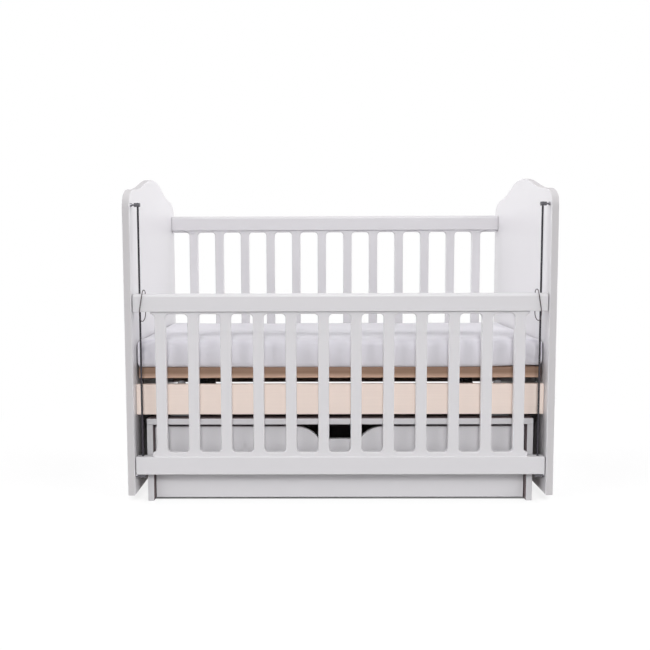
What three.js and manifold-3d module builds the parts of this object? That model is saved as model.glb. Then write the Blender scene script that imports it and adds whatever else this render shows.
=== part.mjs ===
// A swinging baby crib with a drop side and a drawer.
//
// The cot body (end panels, beams, back side, platform and mattress) hangs on four steel links from
// stands on a base case, and swings lengthwise. Its front side runs up and down on two steel rods.
// The base case stands on the floor and holds a drawer on recessed wheels.
//
// Millimetres, +X to the right, +Y to the back, +Z up. The origin is on the floor, midway between the
// end panels and midway between their front and back edges.

import * as THREE from 'three';
import { mergeVertices } from 'three/addons/utils/BufferGeometryUtils.js';
import Module from 'manifold-3d';

const wasm = await Module();
wasm.setup();

// ---- Clearances ----

const seat = 0.3;                 // between pieces that are screwed or glued face to face
const pinFit = 0.3;               // radial, a pin or rod in its bore
const rodFit = 0.5;               // radial, the drop side's bores on the guide rods
const beamClearance = 4;          // between each long side and the beam inside it
const drawerGap = 2.5;            // between the drawer front and the case round it
const guideGap = 0.8;             // between the drawer's axle ends and the case sides
const swingEndGap = 30;           // between the base case and each end panel
const sideEndGap = 2.5;           // between the drop side and each end panel
const mattressEndGap = 2;        // between the mattress and each end panel
const mattressFrontGap = 11;      // between the mattress and the drop side
const mattressBackGap = 3;        // between the mattress and the back side

// ---- Cot body ----

const innerLength = 1220;         // between the end panels
const panelThickness = 22;
const panelDepth = 700;
const panelFloorGap = 28;
const shoulderHeight = 938;       // of the end panels' rounded shoulders
const shoulderReach = 75;         // how far a shoulder's curve runs in from the edge
const shoulderDrop = 60;          // how far down the edge that curve starts
const crestHeight = 990;          // of the end panels' middle
const crestReach = 150;           // half the width of the raised crest
const crestDrop = 28;             // how far below the top the crest's curve starts
const easedEdge = 2;              // small rounding along a board's edges

const beamHeight = 91;
const beamThickness = 20;
const beamLift = 13;              // above the base case

// ---- Slatted sides ----

const sideHeight = 539;
const railHeight = 53;
const railThickness = 28;
const topRailRounding = 10;
const slatBoardThickness = 18;
const slatCount = 12;
const slatWidth = 32;
const slatInset = 65;             // from each end panel to the outer slat
const windowRounding = 12;
const topMargin = 7;              // of the board that shows under the top rail
const bottomMargin = 13;          // of the board that shows over the bottom rail
const tongue = 8;                 // how deep the board is let into the rails

const dropSideInset = 18;         // from the end panels' front edge to the drop side's middle
const dropSideHeight = 90;        // of the lowered drop side's underside
const backSideInset = 40;         // from the end panels' back edge to the back side's middle
const backSideTop = 886;

// ---- Guide rods and latches ----

const rodRadius = 4;
const rodInset = 21;              // from the end panel to the rod's axis
const topEyeHeight = 888;
const eyeRadius = 7;
const eyeHeight = 12;
const eyeShankRadius = 3;
const eyeFlangeRadius = 5.5;
const eyeFlangeThickness = 2.5;
const latchRadius = 1.25;
const latchInset = 16.5;          // from the rod's axis to the latch's pivot
const latchReach = 15.9;          // from the pivot forward to the wire in front of the rail
const latchHoleDepth = 13;
const latchArch = 10.5;           // how high the wire arches over the rail
const latchLoop = 27.5;           // how far the wire hangs below the rail

// ---- Platform and mattress ----

const platformLift = 17;          // above the beams
const platformRailHeight = 32;
const platformRailWidth = 24;
const platformEndGap = 8;         // between the platform and each end panel
const platformFrontGap = 18;      // between the platform and the drop side
const platformBackGap = 3;        // between the platform and the back side
const rebateWidth = 12;           // ledge on the rails that the slats lie on
const platformSlatThickness = 8;
const platformSlatWidth = 90;
const platformSlatCount = 8;
const bracketLeg = 36;
const bracketWidth = 30;
const bracketThickness = 2.5;
const bracketInset = 60;          // from the platform's front and back edges to the bracket's middle
const mattressThickness = 85;
const mattressCorner = 24;
const mattressEdge = 16;

// ---- Swing ----

const linkLength = 65;            // between a link's two pivots
const linkWidth = 24;
const linkThickness = 4;
const pivotRadius = 4;
const pinHeadRadius = 7.5;
const pinHeadThickness = 2.5;
const lowerPivotHeight = 283;
const swingInset = 130;           // from each end panel to the middle of the links
const swingPlay = 0.5;            // between the faces that slide past each other at a pivot
const hangerWidth = 62;
const hangerHeight = 48;
const hangerRise = 11;            // from the pivot up to the middle of the hanger's plate
const hangerBoss = 4;
const bossRadius = 9;
const steelPlate = 4;             // thickness of the hanger and stand plates
const standWidth = 70;
const standFoot = 40;
const standRib = 4;
const standTopRadius = 14;
const screwRadius = 2.5;

// ---- Base case and drawer ----

const baseHeight = 252;
const caseThickness = 18;
const baseSetback = 4;            // of the case's front and back edges inside the two slatted sides
const stretcherHeight = 38;

const drawerFrontRecess = 22;
const drawerFloorGap = 4;
const drawerTopGap = 10;          // between the drawer front and the top of the case
const drawerBoxHeight = 182;
const drawerBackGap = 18;         // between the drawer's back and the case's back edge
const drawerBackThickness = 16;
const drawerBottomThickness = 6;
const drawerBottomHeight = 36;
const drawerGroove = 6;
const cutOutReach = 137;          // from the drawer's middle to where the cut-out's shoulder starts
const cutOutShoulder = 90;        // radius of the shoulder at each side of the cut-out
const cutOutDepth = 40;
const wheelRadius = 15;
const wheelWidth = 9;
const wheelSidePlay = 0.6;
const wheelInset = 55;            // from the ends of the drawer's sides to the wheels
const axleRadius = 3;
const axleSeatDepth = 3;          // of the axle in the inner cheek of the drawer side

// ---- Places that follow from the sizes above ----

const dropSideY = -panelDepth / 2 + dropSideInset;
const backSideY = panelDepth / 2 - backSideInset;
const bedFront = dropSideY + railThickness / 2;       // inner face of the drop side
const bedBack = backSideY - railThickness / 2;        // inner face of the back side
const bedMiddle = (bedFront + bedBack) / 2;
const beamBottom = baseHeight + beamLift;
const beamInnerFace = (bedBack - bedFront) / 2 - beamClearance - beamThickness;  // from the bed's middle
const platformBottom = beamBottom + beamHeight + platformLift;
const platformTop = platformBottom + platformRailHeight;
const rodX = innerLength / 2 - rodInset;
const latchX = rodX - latchInset;
const swingX = innerLength / 2 - swingInset;
const baseHalfLength = innerLength / 2 - swingEndGap;
const baseHalfDepth = (bedBack - bedFront) / 2 - baseSetback;
const slatEdge = innerLength / 2 - slatInset;
const drawerHalfLength = baseHalfLength - caseThickness - drawerGap;

// ---- Materials ----

const finish = (color, roughness, metalness = 0) =>
  new THREE.MeshStandardMaterial({ color, roughness, metalness });

const whiteBoard = finish(0xf1f0f2, 0.45);
const beigeBeam = finish(0xe8d5c8, 0.6);
const naturalWood = finish(0xcda784, 0.65);
const chromedSteel = finish(0xc9cacd, 0.18, 1);
const zincSteel = finish(0x9fa3a8, 0.4, 1);
const mattressCloth = finish(0xe9e8ee, 0.95);
const wheelPlastic = finish(0x2d2e31, 0.5);
const drawerPanel = finish(0xe6e4e3, 0.6);

// ---- Solids ----

// A closed three.js geometry as a manifold solid.
function solid(geometry) {
  const bare = geometry.clone();
  bare.deleteAttribute('normal');
  bare.deleteAttribute('uv');
  const merged = mergeVertices(bare, 1e-4);
  return new wasm.Manifold(new wasm.Mesh({
    numProp: 3,
    vertProperties: Float32Array.from(merged.attributes.position.array),
    triVerts: Uint32Array.from(merged.index.array),
  }));
}

// A manifold solid as a three.js geometry.
function shell(manifold) {
  const { vertProperties, triVerts } = manifold.getMesh();
  const geometry = new THREE.BufferGeometry();
  geometry.setAttribute('position', new THREE.BufferAttribute(Float32Array.from(vertProperties), 3));
  geometry.setIndex(new THREE.BufferAttribute(Uint32Array.from(triVerts), 1));
  geometry.computeVertexNormals();
  return geometry;
}

function join(...geometries) {
  return shell(geometries.map(solid).reduce((whole, part) => whole.add(part)));
}

function cut(geometry, ...tools) {
  return shell(tools.map(solid).reduce((whole, tool) => whole.subtract(tool), solid(geometry)));
}

// A rectangle about the origin with a radius for each corner: bottom right, top right, top left,
// bottom left.
function roundedRectangle(width, height, radii) {
  const [bottomRight, topRight, topLeft, bottomLeft] = radii;
  const x = width / 2;
  const y = height / 2;
  const shape = new THREE.Shape();
  shape.moveTo(-x + bottomLeft, -y);
  shape.lineTo(x - bottomRight, -y);
  shape.absarc(x - bottomRight, -y + bottomRight, bottomRight, -Math.PI / 2, 0);
  shape.lineTo(x, y - topRight);
  shape.absarc(x - topRight, y - topRight, topRight, 0, Math.PI / 2);
  shape.lineTo(-x + topLeft, y);
  shape.absarc(-x + topLeft, y - topLeft, topLeft, Math.PI / 2, Math.PI);
  shape.lineTo(-x, -y + bottomLeft);
  shape.absarc(-x + bottomLeft, -y + bottomLeft, bottomLeft, Math.PI, Math.PI * 1.5);
  return shape;
}

// A shape pushed out to both sides of its own plane.
function extrude(shape, depth, curveSegments = 3) {
  const geometry = new THREE.ExtrudeGeometry(shape, { depth, curveSegments, bevelEnabled: false });
  return geometry.translate(0, 0, -depth / 2);
}

// The same, with a small rounded edge round both faces and the outline kept at its full size.
function extrudeEased(shape, depth, ease, curveSegments = 3, bevelSegments = 1) {
  const geometry = new THREE.ExtrudeGeometry(shape, {
    depth: depth - 2 * ease,
    curveSegments,
    bevelSize: ease,
    bevelOffset: -ease,
    bevelThickness: ease,
    bevelSegments,
  });
  return geometry.translate(0, 0, -depth / 2 + ease);
}

// A board with its four long edges eased: width across X, height along Y, length along Z.
function batten(width, height, length, ease = easedEdge) {
  return extrude(roundedRectangle(width, height, [ease, ease, ease, ease]), length, 1);
}

// A cylinder with a small chamfer at both ends, along Y about the origin.
function roundBar(radius, length, chamfer, segments = 16) {
  const half = length / 2;
  const profile = [
    new THREE.Vector2(0, -half),
    new THREE.Vector2(radius - chamfer, -half),
    new THREE.Vector2(radius, -half + chamfer),
    new THREE.Vector2(radius, half - chamfer),
    new THREE.Vector2(radius - chamfer, half),
    new THREE.Vector2(0, half),
  ];
  return new THREE.LatheGeometry(profile, segments);
}

const cylinder = (radius, length, segments = 16) =>
  new THREE.CylinderGeometry(radius, radius, length, segments);

// ---- Placing ----

// Turns a profile's own X, Y and Z to run along Y, Z and X: a board's section swept lengthwise.
const lengthwise = new THREE.Quaternion().setFromRotationMatrix(new THREE.Matrix4().makeBasis(
  new THREE.Vector3(0, 1, 0), new THREE.Vector3(0, 0, 1), new THREE.Vector3(1, 0, 0)));

// Turns a drawing upright, so that it faces the front: X stays, Y runs up.
const upright = new THREE.Quaternion().setFromAxisAngle(new THREE.Vector3(1, 0, 0), Math.PI / 2);

// Turns a section so that it is swept from front to back: X stays, Y runs up.
const frontToBack = upright;

const unturned = new THREE.Quaternion();
const halfTurn = new THREE.Quaternion(0, 0, 1, 0);

// Handed pieces are drawn for side 1, and stand half a turn round on side -1.
const facing = (side, turn = upright) => (side < 0 ? turn.clone().premultiply(halfTurn) : turn);

function piece(name, geometry, material, position, turn = unturned) {
  const mesh = new THREE.Mesh(geometry, material);
  mesh.name = name;
  mesh.position.set(...position);
  mesh.quaternion.copy(turn);
  return mesh;
}

function assembly(position, ...children) {
  const group = new THREE.Group();
  group.position.set(...position);
  group.add(...children);
  return group;
}

const ends = [['left', -1], ['right', 1]];
const faces = [['front', -1], ['back', 1]];

// ---- End panels ----

// The panel seen from the side: X runs to the back and Y up. Rounded shoulders, a shallow hollow,
// and a broad crest in the middle.
function endPanelOutline() {
  const edge = panelDepth / 2;
  const crestFoot = crestHeight - crestDrop;
  const swale = edge - shoulderReach - crestReach;
  const shape = new THREE.Shape();
  shape.moveTo(-edge, panelFloorGap);
  shape.lineTo(edge, panelFloorGap);
  shape.lineTo(edge, shoulderHeight - shoulderDrop);
  shape.bezierCurveTo(
    edge, shoulderHeight - shoulderDrop * 0.38,
    edge - shoulderReach * 0.34, shoulderHeight - shoulderReach * 0.05,
    edge - shoulderReach, shoulderHeight);
  shape.bezierCurveTo(
    edge - shoulderReach - swale * 0.35, shoulderHeight + swale * 0.02,
    crestReach + swale * 0.28, crestFoot - swale * 0.084,
    crestReach, crestFoot);
  shape.bezierCurveTo(
    crestReach * 0.67, crestFoot + crestDrop * 0.54,
    crestReach * 0.37, crestHeight,
    0, crestHeight);
  shape.bezierCurveTo(
    -crestReach * 0.37, crestHeight,
    -crestReach * 0.67, crestFoot + crestDrop * 0.54,
    -crestReach, crestFoot);
  shape.bezierCurveTo(
    -crestReach - swale * 0.28, crestFoot - swale * 0.084,
    -edge + shoulderReach + swale * 0.35, shoulderHeight + swale * 0.02,
    -edge + shoulderReach, shoulderHeight);
  shape.bezierCurveTo(
    -edge + shoulderReach * 0.34, shoulderHeight - shoulderReach * 0.05,
    -edge, shoulderHeight - shoulderDrop * 0.38,
    -edge, shoulderHeight - shoulderDrop);
  return shape;
}

function endPanels() {
  const geometry = extrudeEased(endPanelOutline(), panelThickness, easedEdge, 8, 1);
  const x = innerLength / 2 + panelThickness / 2;
  return ends.map(([end, side]) =>
    piece(`end_panel_${end}`, geometry, whiteBoard, [side * x, 0, 0], lengthwise));
}

// ---- Slatted sides ----

// The slatted board, routed from one sheet: X runs along the side and Y up from the side's underside.
// It reaches past the outer slats to its ends, with the outer windows open there.
function slatBoardOutline(end) {
  const bottom = railHeight - tongue;
  const top = sideHeight - railHeight + tongue;
  const windowBottom = railHeight + bottomMargin;
  const windowTop = sideHeight - railHeight - topMargin;
  const r = windowRounding;
  const pitch = (2 * slatEdge - slatWidth) / (slatCount - 1);

  const shape = new THREE.Shape();
  shape.moveTo(-end, bottom);
  shape.lineTo(end, bottom);
  shape.lineTo(end, windowBottom);
  shape.absarc(slatEdge + r, windowBottom + r, r, -Math.PI / 2, -Math.PI, true);
  shape.lineTo(slatEdge, windowTop - r);
  shape.absarc(slatEdge + r, windowTop - r, r, Math.PI, Math.PI / 2, true);
  shape.lineTo(end, windowTop);
  shape.lineTo(end, top);
  shape.lineTo(-end, top);
  shape.lineTo(-end, windowTop);
  shape.absarc(-slatEdge - r, windowTop - r, r, Math.PI / 2, 0, true);
  shape.lineTo(-slatEdge, windowBottom + r);
  shape.absarc(-slatEdge - r, windowBottom + r, r, 0, -Math.PI / 2, true);
  shape.lineTo(-end, windowBottom);

  for (let index = 0; index < slatCount - 1; index++) {
    const left = -slatEdge + slatWidth + index * pitch;
    const right = left + pitch - slatWidth;
    const window = new THREE.Path();
    window.moveTo(left + r, windowBottom);
    window.absarc(left + r, windowBottom + r, r, -Math.PI / 2, -Math.PI, true);
    window.lineTo(left, windowTop - r);
    window.absarc(left + r, windowTop - r, r, Math.PI, Math.PI / 2, true);
    window.lineTo(right - r, windowTop);
    window.absarc(right - r, windowTop - r, r, Math.PI / 2, 0, true);
    window.lineTo(right, windowBottom + r);
    window.absarc(right - r, windowBottom + r, r, 0, -Math.PI / 2, true);
    shape.holes.push(window);
  }
  return shape;
}

// A rail with the groove for the slatted board. Its section's X runs to the back and its Y up, and
// the groove is in the top face (grooveSide 1) or the bottom face (grooveSide -1).
function groovedRail(length, boardEnd, grooveSide, radii) {
  const rail = extrude(roundedRectangle(railThickness, railHeight, radii), length, 2);
  const depth = tongue + seat;
  const groove = new THREE.BoxGeometry(slatBoardThickness + 2 * seat, 2 * depth, 2 * (boardEnd + seat));
  groove.translate(0, grooveSide * railHeight / 2, 0);
  return cut(rail, groove);
}

const topRailRadii = [easedEdge, topRailRounding, topRailRounding, easedEdge];
const bottomRailRadii = [easedEdge, easedEdge, easedEdge, easedEdge];

// Upright bores through a rail, at the same distance from the middle to both ends.
function uprightBores(radius, x, depth, y = 0) {
  return ends.map(([, side]) => cylinder(radius, depth, 12).translate(0, y, side * x));
}

// The lowered drop side, on the two guide rods.
function dropSide() {
  const length = innerLength - 2 * sideEndGap;
  const boardEnd = slatEdge + windowRounding;
  const rodBores = uprightBores(rodRadius + rodFit, rodX, railHeight * 2);
  const latchHoles = (railFace) =>
    uprightBores(latchRadius + pinFit, latchX, 2 * latchHoleDepth, railFace * railHeight / 2);
  const topRail = cut(groovedRail(length, boardEnd, -1, topRailRadii),
    ...rodBores, ...latchHoles(1), ...latchHoles(-1));
  const bottomRail = cut(groovedRail(length, boardEnd, 1, bottomRailRadii), ...rodBores);
  const slats = extrude(slatBoardOutline(boardEnd), slatBoardThickness, 2);
  return assembly([0, dropSideY, dropSideHeight],
    piece('drop_side_slats', slats, whiteBoard, [0, 0, 0], upright),
    piece('drop_side_top_rail', topRail, whiteBoard, [0, 0, sideHeight - railHeight / 2], lengthwise),
    piece('drop_side_bottom_rail', bottomRail, whiteBoard, [0, 0, railHeight / 2], lengthwise),
    ...ends.map(([end, side]) => piece(`latch_wire_${end}`, latchWire(side), chromedSteel,
      [side * latchX, 0, sideHeight])));
}

// The fixed back side. Its board is as long as its rails, so its outer windows end at the panels.
function backSide() {
  const length = innerLength - 2 * seat;
  const boardEnd = length / 2;
  const slats = extrude(slatBoardOutline(boardEnd), slatBoardThickness, 2);
  return assembly([0, backSideY, backSideTop - sideHeight],
    piece('back_slats', slats, whiteBoard, [0, 0, 0], upright),
    piece('back_top_rail', groovedRail(length, boardEnd, -1, topRailRadii), whiteBoard,
      [0, 0, sideHeight - railHeight / 2], lengthwise),
    piece('back_bottom_rail', groovedRail(length, boardEnd, 1, bottomRailRadii), whiteBoard,
      [0, 0, railHeight / 2], lengthwise));
}

// ---- Guide rods and latches ----

// The latch is one bent wire. Both its ends turn in holes in the top rail, one above the other, so
// it swings about an upright axis. From the upper hole it arches over the rail, slants outward down
// the front past the rod, and comes back in a loop below the rail. The origin is on the pivot at
// the rail's top, and side is 1 for the right-hand latch.
function latchWire(side) {
  const rodOffset = latchInset - 2;       // the wire ends up just inboard of the rod's middle
  const holeEnd = latchHoleDepth - 1;
  const path = [
    [0, 0, -holeEnd],
    [0, 0, -holeEnd / 2],
    [0, 0, -1],
    [0, 0, latchArch * 0.4],
    [rodOffset * 0.12, -latchReach * 0.3, latchArch],
    [rodOffset * 0.28, -latchReach * 0.72, latchArch * 0.92],
    [rodOffset * 0.4, -latchReach, latchArch * 0.1],
    [rodOffset * 0.68, -latchReach, -railHeight * 0.4],
    [rodOffset, -latchReach, -railHeight],
    [rodOffset, -latchReach * 0.98, -railHeight - latchLoop * 0.45],
    [rodOffset * 0.84, -latchReach * 0.82, -railHeight - latchLoop * 0.85],
    [rodOffset * 0.55, -latchReach * 0.54, -railHeight - latchLoop],
    [rodOffset * 0.26, -latchReach * 0.26, -railHeight - latchLoop * 0.85],
    [rodOffset * 0.05, -latchReach * 0.05, -railHeight - latchLoop * 0.45],
    [0, 0, -railHeight + 1],
    [0, 0, -railHeight + holeEnd / 2],
    [0, 0, -railHeight + holeEnd],
  ].map(([x, y, z]) => new THREE.Vector3(side * x, y, z));
  const section = new THREE.Shape().absarc(0, 0, latchRadius, 0, Math.PI * 2);
  return new THREE.ExtrudeGeometry(section, {
    curveSegments: 4,
    steps: 48,
    extrudePath: new THREE.CatmullRomCurve3(path, false, 'centripetal'),
  });
}

// A screw eye: a short barrel round the rod, on a shank with a flange against the end panel.
// The barrel's axis is Y, and the panel is towards X.
function rodEye() {
  const panelFace = rodInset - seat;
  const shank = cylinder(eyeShankRadius, panelFace, 12).rotateZ(Math.PI / 2)
    .translate(panelFace / 2, 0, 0);
  const flange = cylinder(eyeFlangeRadius, eyeFlangeThickness, 16).rotateZ(Math.PI / 2)
    .translate(panelFace - eyeFlangeThickness / 2, 0, 0);
  const barrel = roundBar(eyeRadius, eyeHeight, 1, 16);
  return cut(join(barrel, shank, flange), cylinder(rodRadius + pinFit, 2 * eyeHeight, 16));
}

function rodsAndEyes() {
  const bottomEyeHeight = dropSideHeight - seat - Math.max(eyeHeight / 2, eyeFlangeRadius);
  const bottom = bottomEyeHeight - eyeHeight / 2;
  const top = topEyeHeight + eyeHeight / 2;
  const rod = roundBar(rodRadius, top - bottom, 0.6);
  const eye = rodEye();
  return ends.flatMap(([end, side]) => {
    const place = (z) => [side * rodX, dropSideY, z];
    return [
      piece(`guide_rod_${end}`, rod, chromedSteel, place((top + bottom) / 2), upright),
      piece(`rod_eye_top_${end}`, eye, zincSteel, place(topEyeHeight), facing(side)),
      piece(`rod_eye_bottom_${end}`, eye, zincSteel, place(bottomEyeHeight), facing(side)),
    ];
  });
}

// ---- Beams ----

function beams() {
  const geometry = batten(beamThickness, beamHeight, innerLength - 2 * seat);
  const y = beamInnerFace + beamThickness / 2;
  return faces.map(([face, side]) => piece(`beam_${face}`, geometry, beigeBeam,
    [0, bedMiddle + side * y, beamBottom + beamHeight / 2], lengthwise));
}

// ---- Platform ----

// A frame rail's section, with a rebate along the inner top edge for the slats. X runs to the inside.
function rebatedRail(length) {
  const x = platformRailWidth / 2;
  const y = platformRailHeight / 2;
  const shape = new THREE.Shape();
  shape.moveTo(-x + easedEdge, -y);
  shape.lineTo(x - easedEdge, -y);
  shape.lineTo(x, -y + easedEdge);
  shape.lineTo(x, y - platformSlatThickness - seat);
  shape.lineTo(x - rebateWidth, y - platformSlatThickness - seat);
  shape.lineTo(x - rebateWidth, y);
  shape.lineTo(-x + easedEdge, y);
  shape.lineTo(-x, y - easedEdge);
  shape.lineTo(-x, -y + easedEdge);
  return extrude(shape, length, 1);
}

// A bent steel angle: one leg down the end panel, one under the platform. X runs to the panel.
function angleBracket() {
  const t = bracketThickness;
  const bend = t * 2;
  const shape = new THREE.Shape();
  shape.moveTo(0, 0);
  shape.lineTo(-bracketLeg, 0);
  shape.lineTo(-bracketLeg, -t);
  shape.lineTo(-bend, -t);
  shape.absarc(-bend, -bend, bend - t, Math.PI / 2, 0, true);
  shape.lineTo(-t, -bracketLeg);
  shape.lineTo(0, -bracketLeg);
  const screwHole = cylinder(screwRadius, 4 * t, 10).rotateZ(Math.PI / 2)
    .translate(0, -bracketLeg * 0.62, 0);
  return cut(extrude(shape, bracketWidth, 2), screwHole);
}

function platform() {
  const front = bedFront + platformFrontGap;
  const back = bedBack - platformBackGap;
  const halfLength = innerLength / 2 - platformEndGap;
  const railY = (back - front) / 2 - platformRailWidth / 2;
  const middle = (front + back) / 2;
  const height = platformRailHeight - platformSlatThickness - seat;
  const endRail = batten(platformRailWidth, height, 2 * (railY - platformRailWidth / 2 - seat));
  const longRail = rebatedRail(2 * halfLength);
  const slatLength = 2 * (railY - platformRailWidth / 2 + rebateWidth - seat);
  const slat = batten(platformSlatWidth, platformSlatThickness, slatLength, 1.5);
  const pitch = (2 * halfLength - platformSlatWidth - 2 * platformEndGap) / (platformSlatCount - 1);
  const slats = Array.from({ length: platformSlatCount }, (_, index) =>
    piece(`platform_slat_${index + 1}`, slat, naturalWood,
      [(index - (platformSlatCount - 1) / 2) * pitch, 0,
        platformRailHeight - platformSlatThickness / 2], frontToBack));
  const rails = faces.map(([face, side]) => piece(`platform_rail_${face}`, longRail, naturalWood,
    [0, side * railY, platformRailHeight / 2], facing(-side, lengthwise)));
  const endRails = ends.map(([end, side]) => piece(`platform_end_${end}`, endRail, naturalWood,
    [side * (halfLength - platformRailWidth / 2), 0, height / 2], frontToBack));
  const bracket = angleBracket();
  const bracketY = (back - front) / 2 - bracketInset;
  const brackets = ends.flatMap(([end, side]) => faces.map(([face, way]) =>
    piece(`platform_bracket_${face}_${end}`, bracket, zincSteel,
      [side * (innerLength / 2 - seat), way * bracketY, -seat], facing(side))));
  return assembly([0, middle, platformBottom], ...rails, ...endRails, ...slats, ...brackets);
}

// ---- Mattress ----

function mattress() {
  const depth = bedBack - bedFront - mattressFrontGap - mattressBackGap;
  const length = innerLength - 2 * mattressEndGap;
  const outline = roundedRectangle(length, depth, Array(4).fill(mattressCorner));
  const y = bedFront + mattressFrontGap + depth / 2;
  return piece('mattress', extrudeEased(outline, mattressThickness, mattressEdge, 3, 3), mattressCloth,
    [0, y, platformTop + seat + mattressThickness / 2]);
}

// ---- Swing ----

// Depths of the swing's layers, measured from the beam's inner face towards the middle of the bed.
const hangerFace = seat + steelPlate;
const linkFace = hangerFace + hangerBoss + swingPlay;
const lowerHead = linkFace + linkThickness + swingPlay;
const standFace = lowerHead + pinHeadThickness + swingPlay;
const upperPivotHeight = lowerPivotHeight + linkLength;

// A pivot pin along Z from one depth to another, with a head at one end.
function pivotPin(from, to, headAt) {
  const along = (geometry, middle) => geometry.rotateX(Math.PI / 2).translate(0, 0, middle);
  const pin = along(cylinder(pivotRadius, to - from, 16), (from + to) / 2);
  const head = along(roundBar(pinHeadRadius, pinHeadThickness, 0.6, 16), headAt);
  return join(pin, head);
}

// Hung from its upper pivot, at the origin: X runs along the crib, Y up and Z to the bed's middle.
function swingLink() {
  const r = linkWidth / 2;
  const shape = new THREE.Shape();
  shape.absarc(0, 0, r, 0, Math.PI);
  shape.lineTo(-r, -linkLength);
  shape.absarc(0, -linkLength, r, Math.PI, Math.PI * 2);
  for (const y of [0, -linkLength]) {
    shape.holes.push(new THREE.Path().absarc(0, y, pivotRadius + pinFit, 0, Math.PI * 2, true));
  }
  return extrude(shape, linkThickness, 8).translate(0, 0, linkFace + linkThickness / 2);
}

// A plate screwed to the beam, with a boss and the lower pivot pin at the origin.
function swingHanger() {
  const corner = 8;
  const outline = roundedRectangle(hangerWidth, hangerHeight, Array(4).fill(corner));
  const screws = [-1, 1].map((side) => cylinder(screwRadius, 4 * steelPlate, 10).rotateX(Math.PI / 2)
    .translate(side * (hangerWidth / 2 - corner), hangerRise, seat + steelPlate / 2));
  const plate = cut(extrude(outline, steelPlate, 2).translate(0, hangerRise, seat + steelPlate / 2),
    ...screws);
  const boss = cylinder(bossRadius, hangerBoss + steelPlate / 2, 16).rotateX(Math.PI / 2)
    .translate(0, 0, hangerFace - steelPlate / 2 + (hangerBoss + steelPlate / 2) / 2);
  const pin = pivotPin(seat + steelPlate / 2, lowerHead + pinHeadThickness / 2,
    lowerHead + pinHeadThickness / 2);
  return join(plate, boss, pin);
}

// A bent plate that stands on the base case and holds the upper pivot pin, at the origin.
function swingStand() {
  const foot = -(upperPivotHeight - baseHeight - seat);
  const half = standWidth / 2;
  const shape = new THREE.Shape();
  shape.moveTo(-half, foot);
  shape.lineTo(half, foot);
  shape.lineTo(half, foot + steelPlate * 2);
  shape.lineTo(standTopRadius, 0);
  shape.absarc(0, 0, standTopRadius, 0, Math.PI);
  shape.lineTo(-half, foot + steelPlate * 2);
  const web = extrude(shape, steelPlate, 6).translate(0, 0, standFace + steelPlate / 2);

  const footOutline = roundedRectangle(standWidth, standFoot, Array(4).fill(steelPlate));
  const screws = [-1, 1].map((side) => cylinder(screwRadius, 4 * steelPlate, 10)
    .translate(side * standWidth * 0.32, 0, 0));
  const footPlate = cut(extrude(footOutline, steelPlate, 2).rotateX(Math.PI / 2), ...screws)
    .translate(0, foot + steelPlate / 2, standFace + standFoot / 2);

  const rib = new THREE.Shape();
  rib.moveTo(0, 0);
  rib.lineTo(standFoot * 0.8, 0);
  rib.lineTo(0, -foot * 0.6);
  const ribPlate = extrude(rib, standRib, 1).rotateY(-Math.PI / 2)
    .translate(0, foot + steelPlate / 2, standFace + steelPlate / 2);

  const upperHead = linkFace - swingPlay - pinHeadThickness / 2;
  const pin = pivotPin(upperHead, standFace + steelPlate / 2, upperHead);
  return join(web, footPlate, ribPlate, pin);
}

// The hardware of the four corners. Each piece is drawn with X along the crib, Y up and Z to the
// bed's middle.
function swingCorners() {
  const hardware = [
    ['swing_stand', swingStand(), upperPivotHeight],
    ['swing_link', swingLink(), upperPivotHeight],
    ['swing_hanger', swingHanger(), lowerPivotHeight],
  ];
  return hardware.flatMap(([name, geometry, height]) => faces.flatMap(([face, way]) =>
    ends.map(([end, side]) => piece(`${name}_${face}_${end}`, geometry, zincSteel,
      [side * swingX, bedMiddle + way * beamInnerFace, height], facing(way)))));
}

// ---- Base case ----

function baseCase() {
  const sideHeightOfCase = baseHeight - caseThickness - seat;
  const side = batten(caseThickness, sideHeightOfCase, 2 * baseHalfDepth, 1);
  const sideX = baseHalfLength - caseThickness / 2;
  const top = batten(2 * baseHalfDepth, caseThickness, 2 * baseHalfLength, 1);
  const stretcher = batten(caseThickness, stretcherHeight, 2 * (sideX - caseThickness / 2 - seat), 1);
  return assembly([0, bedMiddle, 0],
    ...ends.map(([end, way]) => piece(`base_side_${end}`, side, whiteBoard,
      [way * sideX, 0, sideHeightOfCase / 2], frontToBack)),
    piece('base_top', top, whiteBoard, [0, 0, baseHeight - caseThickness / 2], lengthwise),
    piece('base_stretcher', stretcher, whiteBoard,
      [0, baseHalfDepth - caseThickness / 2, sideHeightOfCase - stretcherHeight / 2 - seat],
      lengthwise));
}

// ---- Drawer ----

// The front board, seen from the front. Its top edge dips over round shoulders into a flat-bottomed
// hand cut-out.
function drawerFrontOutline() {
  const bottom = drawerFloorGap;
  const top = baseHeight - caseThickness - drawerTopGap;
  const floor = top - cutOutDepth;
  const turn = Math.acos(1 - cutOutDepth / cutOutShoulder);
  const floorHalfWidth = cutOutReach - cutOutShoulder * Math.sin(turn);
  const shape = new THREE.Shape();
  shape.moveTo(-drawerHalfLength, bottom);
  shape.lineTo(drawerHalfLength, bottom);
  shape.lineTo(drawerHalfLength, top);
  shape.lineTo(cutOutReach, top);
  shape.absarc(cutOutReach, top - cutOutShoulder, cutOutShoulder, Math.PI / 2, Math.PI / 2 + turn);
  shape.lineTo(-floorHalfWidth, floor);
  shape.absarc(-cutOutReach, top - cutOutShoulder, cutOutShoulder, Math.PI / 2 - turn, Math.PI / 2);
  shape.lineTo(-drawerHalfLength, top);
  return shape;
}

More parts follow.
